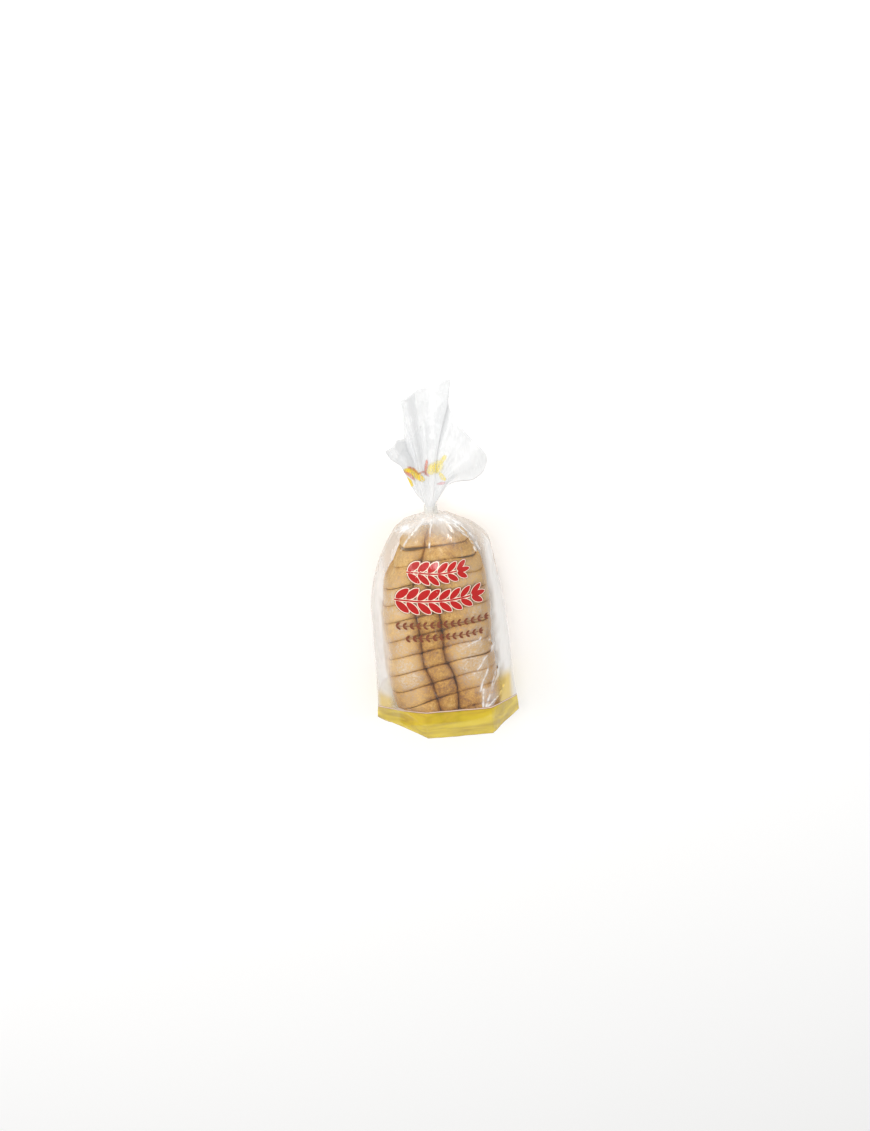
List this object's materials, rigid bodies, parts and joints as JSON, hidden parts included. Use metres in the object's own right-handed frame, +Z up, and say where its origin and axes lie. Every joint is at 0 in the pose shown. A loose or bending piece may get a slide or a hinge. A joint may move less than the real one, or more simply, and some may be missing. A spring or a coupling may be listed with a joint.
{
  "type": "sliced loaf in a clear bag",
  "caption": "Sliced country loaf with a scored crust in a clear film bag, gathered and taped at its neck, lying on its base with a flared ruffle at the mouth.",
  "frame": {"origin": "below the middle of the whole, on the surface the bag lies on", "axes": "+X to the right across the bag, +Y from the folded foot to the ruffled mouth, +Z up through the scored crust"},
  "size_m": [0.1396, 0.355, 0.0824],
  "materials": {
    "film_over_crust": "clear glossy film over a floured golden crust",
    "tape_film": "milky clear tape"
  },
  "bodies": {
    "root": {"bag": "film_over_crust", "neck_tape": "tape_film"}
  },
  "joints": []
}
